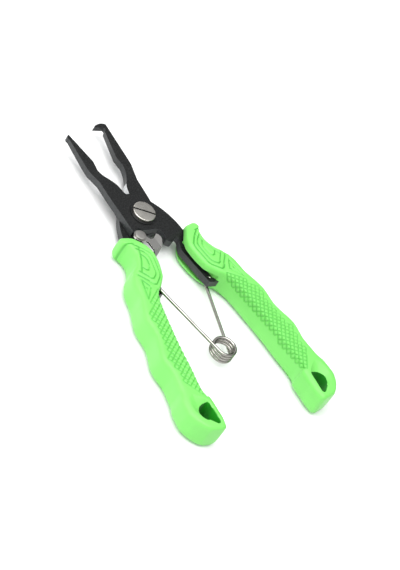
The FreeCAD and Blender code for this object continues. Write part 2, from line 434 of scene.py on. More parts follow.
def add_node(tree: Tree, kind: str, inputs: dict | None = None, **settings: object) -> bpy.types.Node:
    """Add a shader node with its settings and links.

    Args:
        tree: The material's node tree.
        kind: The node's type name, after ShaderNode.
        inputs: For each input socket, a value or the output socket to link to it.
        settings: Properties of the node.

    Returns:
        The node.
    """
    node = tree.nodes.new("ShaderNode" + kind)
    for key, value in settings.items():
        setattr(node, key, value)
    for key, value in (inputs or {}).items():
        if isinstance(value, Socket):
            tree.links.new(value, node.inputs[key])
        else:
            node.inputs[key].default_value = value
    return node


@dataclass(frozen=True)
class Finish:
    """One finish: patches of tone from colour to second, under a fine grain in gloss and relief.

    The grain is rings round the pivot axis, or a noise that stretch draws out into scratches.
    """

    name: str
    colour: str
    second: str
    roughness: float
    metallic: float = 0.0
    patch_mm: float = 3.0
    grain_mm: float = 0.3
    grain_depth_mm: float = 0.006
    gloss_spread: float = 0.08
    rings: bool = False
    stretch: Triple = (1.0, 1.0, 1.0)
    turned_deg: float = 0.0
    # Colour of painted shade, mixed in where a point attribute marks grooves and holes; empty for none.
    painted_shade: str = ""
    sheen: float = 0.0
    specular: float = 0.5
    edge_tint: str = "#FFFFFF"

    def _grain(self, tree: Tree, place: Socket) -> Socket:
        """Return the height of the fine marks, from 0 to 1."""
        if self.rings:
            centred = add_node(tree, "Mapping", {"Vector": place, "Location": Vector(-PIVOT * MM)})
            rings = add_node(tree, "TexWave", {
                "Vector": centred.outputs["Vector"], "Scale": 1.0 / (self.grain_mm * MM * WAVES_PER_UNIT),
                "Distortion": 1.2, "Detail": 3.0, "Detail Scale": 1.5,
            }, wave_type="RINGS", rings_direction="Z")
            return rings.outputs["Fac"]
        mapped = add_node(tree, "Mapping", {
            "Vector": place, "Rotation": (0.0, 0.0, math.radians(self.turned_deg)), "Scale": self.stretch,
        })
        noise = add_node(tree, "TexNoise", {
            "Vector": mapped.outputs["Vector"], "Scale": 1.0 / (self.grain_mm * MM), "Detail": 3.0,
            "Roughness": 0.55,
        })
        return noise.outputs["Fac"]

    def material(self) -> bpy.types.Material:
        """Return the node material: patches of tone, fine marks in gloss and relief, painted shade in
        recesses.
        """
        made = bpy.data.materials.new(self.name)
        made.use_nodes = True
        tree = made.node_tree
        tree.nodes.clear()
        place = add_node(tree, "TexCoord").outputs["Object"]
        patches = add_node(tree, "TexNoise", {
            "Vector": place, "Scale": 1.0 / (self.patch_mm * MM), "Detail": 4.0, "Roughness": 0.6,
        })
        tone = add_node(tree, "MapRange", {
            "Value": patches.outputs["Fac"], "From Min": 0.35, "From Max": 0.65,
        })
        colour = self._mix(tree, tone.outputs["Result"], linear(self.colour), linear(self.second))
        # Painted shade: the darker colour is mixed in by the point attribute that marks grooves and holes.
        if self.painted_shade:
            depth = add_node(tree, "Attribute", attribute_name="painted_shade")
            colour = self._mix(tree, depth.outputs["Fac"], colour, linear(self.painted_shade))
        grain = self._grain(tree, place)
        gloss = add_node(tree, "MapRange", {
            "Value": grain, "From Min": 0.25, "From Max": 0.75,
            "To Min": max(self.roughness - self.gloss_spread, 0.03),
            "To Max": self.roughness + self.gloss_spread,
        })
        relief = add_node(tree, "Bump", {
            "Height": grain, "Strength": 1.0, "Distance": self.grain_depth_mm * MM,
        })
        surface = add_node(tree, "BsdfPrincipled", {
            "Base Color": colour, "Roughness": gloss.outputs["Result"], "Normal": relief.outputs["Normal"],
            "Metallic": self.metallic, "Sheen Weight": self.sheen, "Specular IOR Level": self.specular,
            "Specular Tint": linear(self.edge_tint),
        })
        add_node(tree, "OutputMaterial", {"Surface": surface.outputs["BSDF"]})
        return made

    @staticmethod
    def _mix(tree: Tree, share: Socket, low: object,
             high: object) -> Socket:
        """Return the colour that runs from low to high with share."""
        return add_node(tree, "Mix", {0: share, 6: low, 7: high}, data_type="RGBA").outputs[2]


# Thermoplastic rubber moulded over the tangs: bright lime, silky, with a deeper green painted into the
# grooves and the lanyard hole as painted shade.
LIME_RUBBER = Finish(
    "moulded_lime_rubber", "#77D561", "#71CF5C", 0.46, patch_mm=30.0, grain_mm=0.35, grain_depth_mm=0.012,
    gloss_spread=0.05, painted_shade="#0A8C06", sheen=0.1,
)
# Plate steel, bead blasted and black oxide coated: a dull charcoal that greys under the light.
BLACK_STEEL = Finish(
    "blasted_black_oxide_steel", "#0C0C0C", "#292A2A", 0.46, patch_mm=0.7, grain_depth_mm=0.012,
    specular=0.16,
)
# Painted light: a lighter copy of the same coating on the plates' walls, greyer and a little glossier, for
# the light that they catch from the side.
WALL_PAINTED_LIGHT = Finish(
    "black_oxide_wall_painted_light", "#2C2E2F", "#383A3B", 0.4, patch_mm=1.5, grain_depth_mm=0.01, specular=0.35,
)
# Painted highlight on the eased edges: the same coating drawn as a lighter, glossier grey line.
EDGE_PAINTED_HIGHLIGHT = Finish("black_oxide_edge_painted_highlight", "#6A6D6E", "#565859", 0.34, metallic=0.6)
# Bare steel ground across the cutting edge: bright, with parallel scratches.
GROUND_STEEL = Finish(
    "ground_cutter_steel", "#B9BBBD", "#D2D3D4", 0.3, metallic=1.0, patch_mm=2.0, grain_mm=0.25,
    gloss_spread=0.1, stretch=(1.0, 9.0, 1.0),
)
# Nickel plate over a turned head: warm satin silver with faint rings, drawn coarser than real ones.
SATIN_NICKEL = Finish(
    "turned_satin_nickel", "#D2CEC6", "#C6C2BA", 0.26, metallic=1.0, patch_mm=5.0, grain_mm=0.22,
    grain_depth_mm=0.0003, gloss_spread=0.01, rings=True,
)
# Rivet head, tumbled: flat grey with fine dents.
TUMBLED_NICKEL = Finish(
    "tumbled_nickel_rivet", "#A9A6A2", "#9D9A96", 0.42, metallic=1.0, patch_mm=2.5, grain_mm=0.4,
    grain_depth_mm=0.01, gloss_spread=0.1,
)
# Stamped stainless sheet, barrel polished: bright with soft waves and hairlines.
POLISHED_STAINLESS = Finish(
    "polished_stamped_stainless", "#C4C2BD", "#BEBCB7", 0.16, metallic=1.0, patch_mm=12.0,
    grain_depth_mm=0.0004, gloss_spread=0.015, stretch=(6.0, 1.0, 1.0), turned_deg=30.0,
    edge_tint="#8F8F8F",
)
# Hard drawn stainless wire: mirror bright; its dark edge tint is painted reflection that darkens it where it
# turns away.
DRAWN_WIRE = Finish(
    "drawn_stainless_wire", "#B5B2AC", "#A29F99", 0.14, metallic=1.0, patch_mm=4.0, grain_depth_mm=0.003,
    gloss_spread=0.06, edge_tint="#2A2A2A",
)
# Spring washer, black oxide over steel, oiled: darker and glossier than the plates. The same black is painted
# shade in the screw's slot.
OILED_BLACK_AND_SLOT_SHADE = Finish("oiled_black_washer_and_slot_shade", "#131414", "#1C1D1D", 0.34, metallic=0.4, grain_mm=0.25)
# Seamless paper under the part: pale, dull.
PALE_PAPER = Finish(
    "pale_studio_paper", "#F6F6F5", "#F4F4F3", 0.9, patch_mm=400.0, grain_mm=2.0, grain_depth_mm=0.01,
    gloss_spread=0.02,
)


# ---- Grips ----

@dataclass
class Grips:
    """The two moulded handles, with their guard grooves, diamond panel, tang slot and lanyard hole.

    Stations are (distance below the pivot, inner side, outer side, share of the thickness), all in
    the closed frame, in millimetres.
    """

    stations: tuple = (
        (16.4, 15.6, 20.9, 0.62), (17.8, 13.6, 21.7, 0.8), (19.8, 11.5, 21.8, 0.9), (21.2, 10, 20.9, 0.94),
        (23.5, 7.9, 18.8, 0.97), (28, 5.7, 17.8, 1), (34, 5.3, 19.5, 1), (40, 5.8, 23.8, 1),
        (46, 8.9, 24.9, 1), (52, 12.8, 24.6, 1), (58, 13.9, 25.7, 1), (65, 13.8, 26.8, 1),
        (76, 13.6, 25.1, 1), (88.5, 12.7, 26.9, 1), (100, 11.5, 24.3, 1), (108, 10.4, 24.2, 1),
        (114, 8, 25.3, 1), (120, 6.8, 25, 1), (125, 6, 22.7, 0.99), (129, 6.2, 18.4, 0.95),
        (130.8, 8.4, 15.2, 0.82),
    )
    top: float = 8.9
    low: float = -7.3
    rest: float = -7.2  # the lowest that any point may lie
    top_squareness: float = 0.32
    low_squareness: float = 0.56
    end_round: float = 0.5
    row_step: float = 0.25
    columns: int = 176
    groove_width: float = 0.42
    groove_depth: float = 0.5
    diamond_pitch: float = 3.25
    diamond_width: float = 0.36
    diamond_depth: float = 0.4
    pillow: float = 0.1
    pattern_shift: float = 0.2
    pattern_drop: float = 0.6
    unroll: float = 0.8
    pit_depth: float = 0.3
    crease_y: float = -20.9
    waist_depth: float = 0.75
    valley_depth: float = 0.32
    ramp_depth: float = 1.9
    guard_end: float = -49.0
    # Painted shade: how dark the guard's and the panel's grooves are painted, and the groove depth at which
    # it is full.
    guard_dark: float = 0.8
    panel_dark: float = 0.6
    full_dark_depth: float = 0.45
    slot_half_height: float = 4.2
    slot_end: float = -48.0
    lip_round: float = 0.7
    hole_round: float = 0.9
    guard_lines: tuple = (
        ((17.2, -21.4), (12.2, -24.4), (8.7, -27.4), (8.1, -30), (8.1, -39.6), (8.9, -41.6), (12.6, -46),
         (14.2, -45.7), (21.6, -39.9)),
        ((16.5, -24.2), (13.2, -26.2), (10.9, -28.3), (10.4, -30), (10.4, -38.8), (11.2, -40.6),
         (13.2, -42.6), (14.6, -42.3), (19.8, -37.9)),
        ((14.5, -22.6), (15.3, -27), (16.2, -31.5), (18.6, -38.2)),
        ((15.3, -27.6), (13.3, -29.8), (12.8, -31.4), (12.8, -35.4), (13.9, -37.4), (15.4, -37.4),
         (17.6, -35.4)),
    )
    triangle: tuple = ((20.7, -43.2), (16.8, -47.8), (21.3, -54.7))
    dimple: tuple = ((20.2, -46.3), (18.4, -48.2), (20.4, -51))
    panel: tuple = (
        (10.4, -51.6), (13.6, -48.6), (17, -52), (20.8, -57.8), (22.9, -63.5), (22.9, -68),
        (21.5, -76), (22.6, -84), (23, -90), (21.2, -97), (20.2, -103), (17.4, -107.2),
        (12.6, -110.6), (9.3, -111.4), (8.2, -104), (9.4, -96), (10.2, -88), (10.8, -76),
        (10.6, -62),
    )
    ramp_edge: tuple = (
        (12.2, -114.2), (16, -112), (18.9, -110.6), (21.2, -112.6), (22, -116.6), (20.9, -120.6),
        (18.4, -124), (15, -126.4), (12, -120),
    )
    valley: tuple = ((24.4, -38.6), (21.4, -39.4), (18.2, -42.2), (14.6, -47.4), (11.4, -50))
    hole: Array = field(default_factory=lambda: outline((9.3, -125.6), [
        (11.2, -116.8), (12, -115.4, 13.8, -115.5), (16.9, -117.2, 18.2, -120.3),
        (17.2, -122.8, 15, -124.8), (11.4, -127), (9.7, -127.1, 9.3, -125.6),
    ]))

    @property
    def middle(self) -> float:
        """Height of the middle of the thickness."""
        return (self.top + self.low) / 2

    @property
    def half(self) -> float:
        """Half of the thickness."""
        return (self.top - self.low) / 2

    def bare_surface(self) -> tuple[Array, Array]:
        """Return the handle before its relief, and where each point is across its section.

        Formula: a section is (cos a, sin a) scaled by (|cos a|^n + |sin a|^n)^(-1/n), n = 2 / squareness,
        then by half the width and half the thickness. The ends are domed.

        Returns:
            The grid of points, and for each the share of the half width, from -1 inside to 1 outside.
        """
        table = np.array(self.stations)
        first, last = table[0, 0] + self.end_round, table[-1, 0] - self.end_round
        body = np.arange(first, last, self.row_step)
        dome = np.sin(np.linspace(0.0, math.pi / 2, END_ROWS, endpoint=False))
        sink = self.end_round * (1.0 - np.sqrt(1.0 - dome ** 2))
        at = np.concatenate([np.full(END_ROWS, first), body, np.full(END_ROWS, last)])
        drop = np.concatenate([table[0, 0] + sink, body, (table[-1, 0] - sink)[::-1]])
        shrink = np.concatenate([dome, np.ones(len(body)), dome[::-1]])[:, None]
        inner, outer, share = (through(table[:, 0], table[:, k], at)[:, None] for k in (1, 2, 3))
        angle = np.linspace(0.0, 2 * math.pi, self.columns, endpoint=False)[None, :]
        power = 2.0 / np.where(np.sin(angle) > 0, self.top_squareness, self.low_squareness)
        reach = (np.abs(np.cos(angle)) ** power + np.abs(np.sin(angle)) ** power) ** (-1.0 / power)
        across, up = reach * np.cos(angle), reach * np.sin(angle)
        x = (inner + outer) / 2 + shrink * (outer - inner) / 2 * across
        z = self.middle + shrink * (share * self.half) * up
        y = np.broadcast_to(-drop[:, None], x.shape)
        return np.stack([x, y, z], axis=-1), np.broadcast_to(across, x.shape)

    def _groove(self, x: Array, y: Array, line: Outline, closed: bool, size: float = 1.0) -> Array:
        """Return the depth of a groove along a line: its depth times exp(-(distance / width)^2)."""
        far = line_distance(x, y, np.array(line), closed)
        return size * self.groove_depth * np.exp(-(far / (self.groove_width * size)) ** 2)

    def _diamonds(self, x: Array, y: Array) -> Array:
        """Return the depth of the crossed grooves round every diamond whose centre is in the panel.

        Formula: u = (x + y) / pitch and v = (x - y) / pitch count the two sets of grooves.
        """
        u, v = (x + y) / self.diamond_pitch, (x - y) / self.diamond_pitch
        panel = np.array(self.panel)

        def whole(i: Array, j: Array) -> Array:
            """Return whether diamond i, j is in the panel."""
            cu, cv = (i + 0.5) * self.diamond_pitch, (j + 0.5) * self.diamond_pitch
            return inside((cu + cv) / 2, (cu - cv) / 2, panel)

        i, j = np.floor(u), np.floor(v)
        here = whole(i, j)
        to_u, to_v = u - np.round(u), v - np.round(v)
        beside_u = whole(i + np.where(to_u < 0, 1, -1), j)
        beside_v = whole(i, j + np.where(to_v < 0, 1, -1))
        scale = self.diamond_pitch / math.sqrt(2) / self.diamond_width
        cut_u = np.exp(-(to_u * scale) ** 2) * (here | beside_u)
        cut_v = np.exp(-(to_v * scale) ** 2) * (here | beside_v)
        pillow = self.pillow * here * (4 * np.maximum(np.abs(u - i - 0.5), np.abs(v - j - 0.5)) ** 2)
        return self.diamond_depth * np.maximum(cut_u, cut_v) + pillow

    def relief(self, points: Array) -> Array:
        """Return the depth in millimetres of the moulded pattern at points of the closed frame.

        The pattern is drawn on the face unrolled over its shoulders: across = x plus or minus a share of
        the drop below the face's highest line. The back carries it on its flat face only.
        """
        x, y, z = points[..., 0] + self.pattern_shift, points[..., 1] + self.pattern_drop, points[..., 2]
        table = np.array(self.stations)
        centre = np.interp(-y, table[:, 0], (table[:, 1] + table[:, 2]) / 2)
        half = np.interp(-points[..., 1], table[:, 0], table[:, 3]) * self.half
        fall = np.maximum(half - np.abs(z - self.middle), 0.0)
        across = x + np.sign(x - centre) * self.unroll * fall
        face = ramp(6.0, 4.0, fall)
        depth = self._diamonds(across, y)
        for line in self.guard_lines:
            depth = np.maximum(depth, face * self._groove(across, y, line, False))
        depth = np.maximum(depth, face * self._groove(across, y, self.triangle, True))
        dimple = np.array(self.dimple)
        in_dimple = np.where(inside(across, y, dimple), line_distance(across, y, dimple, True), 0.0)
        pit = self.pit_depth * face * ramp(0.0, 0.5, in_dimple)
        crease = 0.5 * np.exp(-((y - self.crease_y) / 0.34) ** 2) * ramp(15.5, 17.2, x + self.unroll * fall)
        held = np.where(z > self.middle, 1.0, ramp(2.2, 1.2, fall))
        return np.maximum(held * np.maximum(depth, pit), crease)

    def shaping(self, points: Array, share: Array) -> Array:
        """Return the depth of the larger forms: heel step, lanyard ramp, guard valley and rounded rims.

        Args:
            points: Points in the closed frame.
            share: Place across the section, from -1 inside to 1 outside.

        Returns:
            Depths in millimetres.
        """
        x, y, z = points[..., 0], points[..., 1], points[..., 2]
        face = ramp(5.0, 2.5, self.half - np.abs(z - self.middle))
        waist = (
            self.waist_depth * ramp(-92.0, -109.0, y) * ramp(-112.4, -111.4, y) * ramp(-0.62, -0.86, share)
        )
        to_valley = line_distance(x, y, np.array(self.valley), False)
        valley = self.valley_depth * face * np.exp(-(to_valley / 1.5) ** 2)
        to_hole = np.where(inside(x, y, self.hole), 0.0, line_distance(x, y, self.hole, True))
        edge = np.array(self.ramp_edge)
        to_edge = np.where(inside(x, y, edge), line_distance(x, y, edge, True), 0.0)
        slope = self.ramp_depth * face * to_edge / (to_edge + to_hole + 0.4)
        hole_rim = face * rim_drop(self.hole_round, to_hole)
        above = np.maximum(np.abs(z) - self.slot_half_height, 0.0)
        past = np.maximum(self.slot_end - y, 0.0)
        lip = ramp(-0.1, -0.4, share) * rim_drop(self.lip_round, np.hypot(above, past))
        return waist + valley + np.maximum(slope, hole_rim) + lip

    def _cutters(self) -> list[Mesh]:
        """Return the solids of the lanyard hole, the tang slot and its mouth."""
        slot = outline((-6.0, -12.0), [
            (-6.0, self.slot_end), (6.0, self.slot_end), (9.1, -47.3, 9.8, -44.8), (9.8, -12.0),
            (-6.0, -12.0),
        ])
        mouth = np.array([(-6.0, -22.0), (14.8, -22.0), (14.8, -12.0), (-6.0, -12.0)])
        return [
            prism("cut_hole", self.hole, self.low - 2, self.top + 2),
            prism("cut_slot", slot, -self.slot_half_height, self.slot_half_height),
            prism("cut_mouth", mouth, -self.slot_half_height - 0.2, self.slot_half_height + 0.2),
        ]

    def build(self) -> dict[Half, Piece]:
        """Build one handle in the closed frame, carve it, and return a copy carried to each half."""
        grid, share = self.bare_surface()
        along = np.gradient(grid, axis=0)
        around = np.roll(grid, -1, axis=1) - np.roll(grid, 1, axis=1)
        normal = np.cross(around, along)
        normal /= np.maximum(np.linalg.norm(normal, axis=-1, keepdims=True), 1e-9)
        middle = grid.mean(axis=1, keepdims=True)
        normal *= np.where(((grid - middle) * normal).sum(axis=-1, keepdims=True) < 0, -1.0, 1.0)
        depth = self.relief(grid) + self.shaping(grid, share)
        ends = np.ones(len(grid))
        ends[:END_ROWS], ends[-END_ROWS:] = 0.0, 0.0
        moved = grid - normal * (depth * ends[:, None])[..., None]
        moved[..., 2] = np.maximum(moved[..., 2], self.rest)
        handle = Skin(moved).piece("handle")
        carve(handle, self._cutters())
        corners = corners_of(handle.data)
        x, y = corners[:, 0], corners[:, 1]
        # Painted shade: grooves darkened by their depth, and the lanyard hole's walls painted fully dark.
        dark = np.where(y > self.guard_end, self.guard_dark, self.panel_dark)
        deep = dark * np.clip(self.relief(corners) / self.full_dark_depth, 0.0, 1.0)
        deep[inside(x, y, self.hole) | (line_distance(x, y, self.hole, True) < 0.02)] = 1.0
        mark = handle.data.attributes.new("painted_shade", "FLOAT", "POINT")
        mark.data.foreach_set("value", deep.astype(np.float32))
        pieces = {}
        for half in Half:
            mesh = handle.data.copy()
            mesh.name = f"{half.word}_handle"
            put_corners(mesh, half.carry(corners))
            if half is Half.REAR:
                mesh.flip_normals()
            shade(mesh, 38.0)
            pieces[half] = add_object(mesh)
        bpy.data.objects.remove(handle)
        return pieces

    def dress(self, pieces: dict[Half, Piece]) -> None:
        """Give both handles their rubber and let them ride on their halves."""
        rubber = LIME_RUBBER.material()
        for half, piece in pieces.items():
            coat(piece, rubber)
            put_on(piece, f"{half.word}_half", "grip_green", f"{half.word}_grip")


# ---- Levers ----

@dataclass
class Levers:
    """The two steel levers, as merged copies of their CAD nodes with eased edges, painted lighter as painted
    highlights.
    """

    ease_mm: float = 0.32
    cutter_y: tuple[float, float] = (14.0, 22.5)
    cutter_half_w: float = 0.9

    def build(self, nodes: dict[str, Piece]) -> list[Piece]:
        """Return merged copies of both lever nodes."""
        return [merged_copy(nodes[f"{half.word}_lever"], f"{half.word}_blade") for half in Half]

    def grind(self, mesh: Mesh, half: Half) -> None:
        """Paint the walls lighter as painted light, and leave bare those just above the notch, which cut
        wire.
        """
        centres = np.array([face.center for face in mesh.polygons]) / MM - PIVOT
        x, y = rotate(centres[:, 0], centres[:, 1], -HALF_OPEN_DEG * half.value)
        level = np.abs([face.normal.z for face in mesh.polygons]) < 0.3
        low, high = self.cutter_y
        ground = level & (np.abs(x) < self.cutter_half_w) & (y > low) & (y < high)
        # Painted light: level walls take slot 3, a lighter grey than the faces.
        slots = np.where(ground, 2, np.where(level, 3, 0))
        mesh.polygons.foreach_set("material_index", slots.astype(np.int32))

    def dress(self, pieces: list[Piece]) -> None:
        """Coat the levers, paint highlights on their eased edges and let them ride on their halves."""
        finishes = [finish.material() for finish in (BLACK_STEEL, EDGE_PAINTED_HIGHLIGHT, GROUND_STEEL, WALL_PAINTED_LIGHT)]
        for piece, half in zip(pieces, Half):
            coat(piece, *finishes)
            self.grind(piece.data, half)
            # Painted highlight: the bevel's faces take slot 1, a lighter grey.
            ease_edges(piece, self.ease_mm, edge_slot=1)
            put_on(piece, f"{half.word}_half", "black_steel", f"{half.word}_lever")


# ---- Pivot ----

@dataclass
class Pivot:
    """The slotted pivot screw, the black washer under its head and the nut on the back."""

    head_r: float = 6.17
    head_low: float = 4.6
    head_top: float = 6.4
    head_round: float = 0.4
    crown: float = 0.14
    shank_r: float = 3.0
    shank_low: float = -6.6
    slot_w: float = 0.9
    slot_d: float = 0.8
    slot_deg: float = -33.0
    slot_reach: float = 9.0
    washer_r: float = 6.95
    washer_low: float = 4.0
    nut_flats: float = 9.0
    nut_low: float = -6.2
    nut_top: float = -4.0
    nut_crown_r: float = 4.35

    def screw(self) -> Piece:
        """Return the screw: head with a parabolic crown, a rounded rim and a cut slot, chamfered shank."""
        inner, rim_top = self.head_r - self.head_round, self.head_top - self.crown
        flat = np.linspace(0.0, inner, 10)
        crown = np.stack([flat, self.head_top - self.crown * (flat / flat[-1]) ** 2], axis=1)
        rim = rounded_corner(inner, rim_top - self.head_round, self.head_round, 90.0, 9)
        below = np.array([
            (self.head_r, self.head_low + 0.12), (self.head_r - 0.12, self.head_low),
            (self.shank_r, self.head_low), (self.shank_r, self.shank_low + 0.4),
            (self.shank_r - 0.4, self.shank_low), (0.0, self.shank_low),
        ])
        piece = turned_skin(np.concatenate([crown, rim[1:], below]), 128).piece("pivot_bolt")
        along, side = np.array(rotate(1.0, 0.0, self.slot_deg)), np.array(rotate(0.0, 1.0, self.slot_deg))
        corners = np.array([
            self.slot_reach * sx * along + self.slot_w / 2 * sy * side
            for sx, sy in ((-1, -1), (1, -1), (1, 1), (-1, 1))
        ])
        floor = self.head_top - self.slot_d
        carve(piece, [prism("cut_screw_slot", corners, floor, self.head_top + 1.0)])
        # Painted shade: the slot's faces take the second material, a black, for the shade inside the slot.
        centres = np.array([face.center for face in piece.data.polygons])
        in_slot = (np.abs(centres[:, :2] @ side) < self.slot_w / 2 + 0.02) & (centres[:, 2] > floor - 0.02)
        piece.data.polygons.foreach_set("material_index", in_slot.astype(np.int32))
        return piece

    def washer(self) -> Piece:
        """Return the washer, a flat ring with rounded edges."""
        top, inner = self.head_low, self.shank_r + 0.1
        profile = np.concatenate([
            [(inner, top)], rounded_corner(self.washer_r - 0.22, top - 0.22, 0.22, 90.0),
            [(self.washer_r, self.washer_low + 0.05), (self.washer_r - 0.05, self.washer_low),
             (inner, self.washer_low)],
        ])
        return turned_skin(profile, 128, ring=True).piece("pivot_ring")

    def nut(self) -> Piece:
        """Return the hexagonal nut with a coned outer face.

        Formula: the side at angle a is at flats / 2 / cos(a - nearest flat's angle); the cone lifts the
        face by tan 30 degrees times the distance past the crown circle.
        """
        angle = np.linspace(0.0, 2 * math.pi, 144, endpoint=False)
        side = self.nut_flats / 2 / np.cos((angle + math.radians(60)) % math.radians(60) - math.radians(30))
        past = np.maximum(side - self.nut_crown_r, 0.0)
        cone = math.tan(math.radians(30))
        rows = [
            (self.shank_r + 0.05, self.nut_top),
            (side, self.nut_top),
            (side, self.nut_low + past * cone),
            (side - past * 0.5, self.nut_low + past * 0.5 * cone),
            (np.minimum(side, self.nut_crown_r), self.nut_low),
            (self.shank_r + 0.25, self.nut_low),
            (self.shank_r + 0.05, self.nut_low + 0.2),
        ]
        grid = [np.stack([r * np.cos(angle), r * np.sin(angle), z + 0.0 * angle], axis=-1) for r, z in rows]
        return Skin(np.stack(grid), ring=True).piece("pivot_hex")

    def build(self) -> list[Piece]:
        """Return the screw, washer and nut in the part's frame."""
        return [settle(piece) for piece in (self.screw(), self.washer(), self.nut())]

    def dress(self, pieces: list[Piece]) -> None:
        """Plate the screw and nut, blacken the washer, paint shade into the slot in black, and let them ride
        on the front half.
        """
        nickel, black = SATIN_NICKEL.material(), OILED_BLACK_AND_SLOT_SHADE.material()
        for piece, finish, slot, node in zip(
            pieces, (nickel, black, nickel), ("nickel", "black_washer", "nickel"),
            ("pivot_screw", "pivot_washer", "pivot_nut"),
        ):
            coat(piece, finish, black)
            put_on(piece, "front_half", slot, node)
        ease_edges(pieces[0], 0.07)


# ---- Latch ----

@dataclass
class Latch:
    """The stamped latch, the rivet that it turns on and the spacer under it."""

    rivet_x: float = -10.4
    rivet_y: float = -12.75
    rivet_r: float = 1.5
    head_r: float = 2.85
    head_low: float = 5.15
    head_top: float = 6.1
    back_r: float = 2.2
    back_low: float = -4.5
    back_top: float = -4.0
    sheet_top: float = 5.1
    hook_y: float = -21.8
    coining: tuple = ((-3.0, 0.0), (-2.75, 0.75), (1.0, 0.0))

    def rivet(self) -> Piece:
        """Return the rivet: flat head with a rounded rim, shank and spread back head."""
        profile = np.concatenate([
            [(0.0, self.head_top), (1.2, self.head_top - 0.01)],
            rounded_corner(self.head_r - 0.35, self.head_top - 0.4, 0.35, 90.0),
            [(self.head_r, self.head_low), (self.rivet_r, self.head_low), (self.rivet_r, self.back_top),
             (self.back_r, self.back_top)],
            rounded_corner(self.back_r - 0.3, self.back_low + 0.3, 0.3, 0.0),
            [(0.0, self.back_low)],
        ])
        return settle(turned_skin(profile, 72, self.rivet_x, self.rivet_y).piece("latch_pin"))

    def sheet(self, node: Piece) -> Piece:
        """Return a merged copy of the latch whose hook is creased and coined thinner towards its edge.

        Formula: the upper face is split along the lines of the profile and lowered by its depth there.
        """
        piece = merged_copy(node, "latch_sheet")
        work = bmesh.new()
        work.from_mesh(piece.data)
        for x, _ in self.coining:
            bmesh.ops.bisect_plane(
                work, geom=[*work.verts, *work.edges, *work.faces], dist=1e-7,
                plane_co=Vector(((x + PIVOT[0]) * MM, 0.0, 0.0)), plane_no=Vector((1.0, 0.0, 0.0)),
            )
        work.to_mesh(piece.data)
        work.free()
        points = corners_of(piece.data)
        across, depth = np.array(self.coining).T
        x, y, z = (points / MM - PIVOT).T
        points[:, 2] -= ((z > self.sheet_top - 0.05) & (y > self.hook_y)) * np.interp(x, across, depth) * MM
        put_corners(piece.data, points)
        shade(piece.data, 5.0)
        return piece

    def build(self, nodes: dict[str, Piece]) -> list[Piece]:
        """Return the latch sheet and its rivet."""
        return [self.sheet(nodes["latch"]), self.rivet()]

    def dress(self, pieces: list[Piece], nodes: dict[str, Piece]) -> None:
        """Polish the latch, tumble the rivet and finish the spacer, which stays a CAD node."""
        sheet, pin = pieces
        stainless = POLISHED_STAINLESS.material()
        coat(sheet, stainless)
        coat(pin, TUMBLED_NICKEL.material())
        ease_edges(sheet, 0.16)
        put_on(sheet, "latch_body", "stainless", "latch")
        put_on(pin, "rear_half", "nickel", "latch_rivet")
        coat(nodes["latch_spacer"], stainless)
        LOG.info("latch_spacer: CAD node, given its finish")


# ---- Return spring ----

